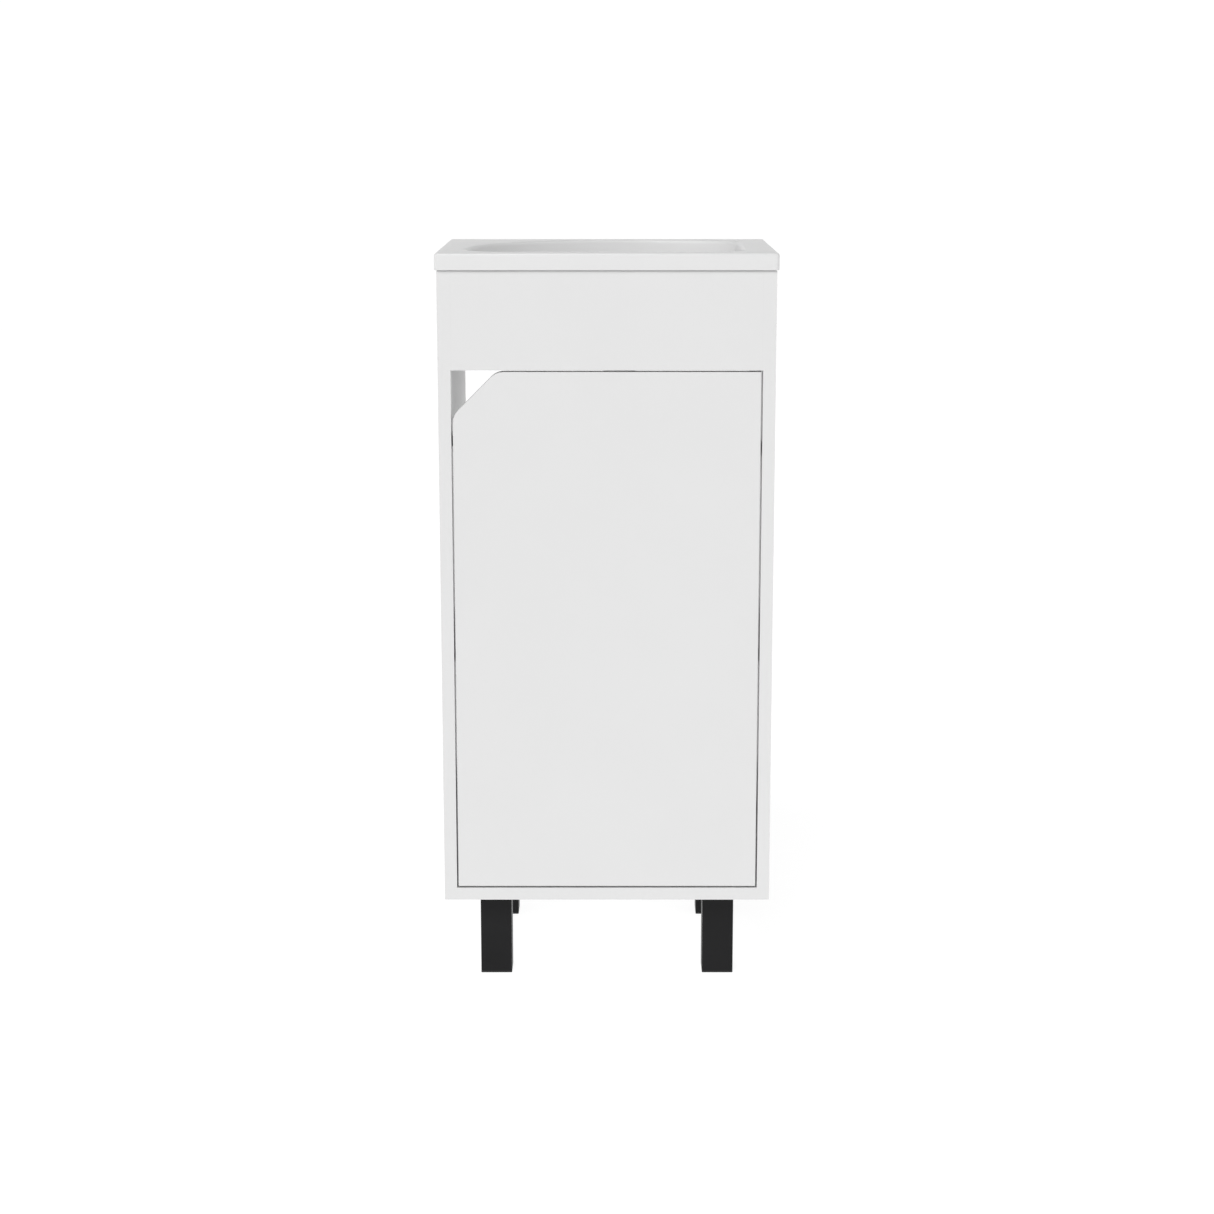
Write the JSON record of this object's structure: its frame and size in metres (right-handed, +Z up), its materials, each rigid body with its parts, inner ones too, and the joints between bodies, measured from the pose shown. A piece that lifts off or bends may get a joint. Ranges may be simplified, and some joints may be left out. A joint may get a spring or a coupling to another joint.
{
  "type": "bathroom vanity cabinet",
  "caption": "Floor-standing bathroom vanity: square-legged cabinet with an inset hinged door, a corner finger notch, an open back and an inset-bowl washbasin top.",
  "frame": {"origin": "on the floor, under the middle of the basin's outline", "axes": "+Z up, the door faces -Y, +X is to the right seen from the front"},
  "size_m": [0.4, 0.3, 0.882],
  "materials": {
    "white_board": "white melamine foil on particle board, satin, white edge banding",
    "basin_stone": "white cast mineral, satin to semi-gloss",
    "seal_silicone": "translucent grey-white silicone, matte",
    "beech": "plain beech",
    "zinc_steel": "bright zinc plate",
    "zinc_casting": "raw zinc casting",
    "nickel_steel": "nickel plate, satin",
    "black_leg": "black powder coat, semi-gloss",
    "black_plastic": "black moulded plastic, fine grain",
    "brass_insert": "turned brass",
    "magnet": "ground ferrite magnet with steel poles",
    "chrome": "polished chrome",
    "washer_rubber": "black rubber"
  },
  "bodies": {
    "cabinet": {"side_panel_left": "white_board", "side_panel_right": "white_board", "bottom_panel": "white_board", "front_fascia": "white_board", "rear_rail_upper": "white_board", "rear_rail_lower": "white_board", "shelf": "white_board", "basin": "basin_stone", "basin_seal": "seal_silicone", "dowels": "beech", "cam_bolts": "zinc_steel", "cam_discs": "zinc_casting", "shelf_pins": "nickel_steel", "leg_front_left": "black_leg", "leg_front_right": "black_leg", "leg_rear_left": "black_leg", "leg_rear_right": "black_leg", "leg_caps": "black_plastic", "leg_bolts": "zinc_steel", "leg_inserts": "brass_insert", "hinge_arm_lower": "nickel_steel", "hinge_arm_upper": "nickel_steel", "hinge_plate_lower": "nickel_steel", "hinge_plate_upper": "nickel_steel", "hinge_arm_screws": "zinc_steel", "hinge_plate_screws": "zinc_steel", "catch_body": "black_plastic", "catch_magnet": "magnet", "catch_screws": "zinc_steel", "waste_body": "chrome", "waste_flange_seal": "washer_rubber", "waste_washer": "washer_rubber", "waste_nut": "black_plastic"},
    "door": {"door_panel": "white_board", "hinge_cup_lower": "nickel_steel", "hinge_cup_upper": "nickel_steel", "hinge_pin_lower": "zinc_steel", "hinge_pin_upper": "zinc_steel", "hinge_cup_screws": "zinc_steel", "strike_plate": "zinc_steel", "strike_screw": "zinc_steel"}
  },
  "joints": [
    {"name": "door_swing", "type": "hinge", "parent": "cabinet", "child": "door", "pos_m": [0.1675, -0.1405, 0.4306], "axis": [0, 0, 1], "range_deg": [0, 95]}
  ]
}
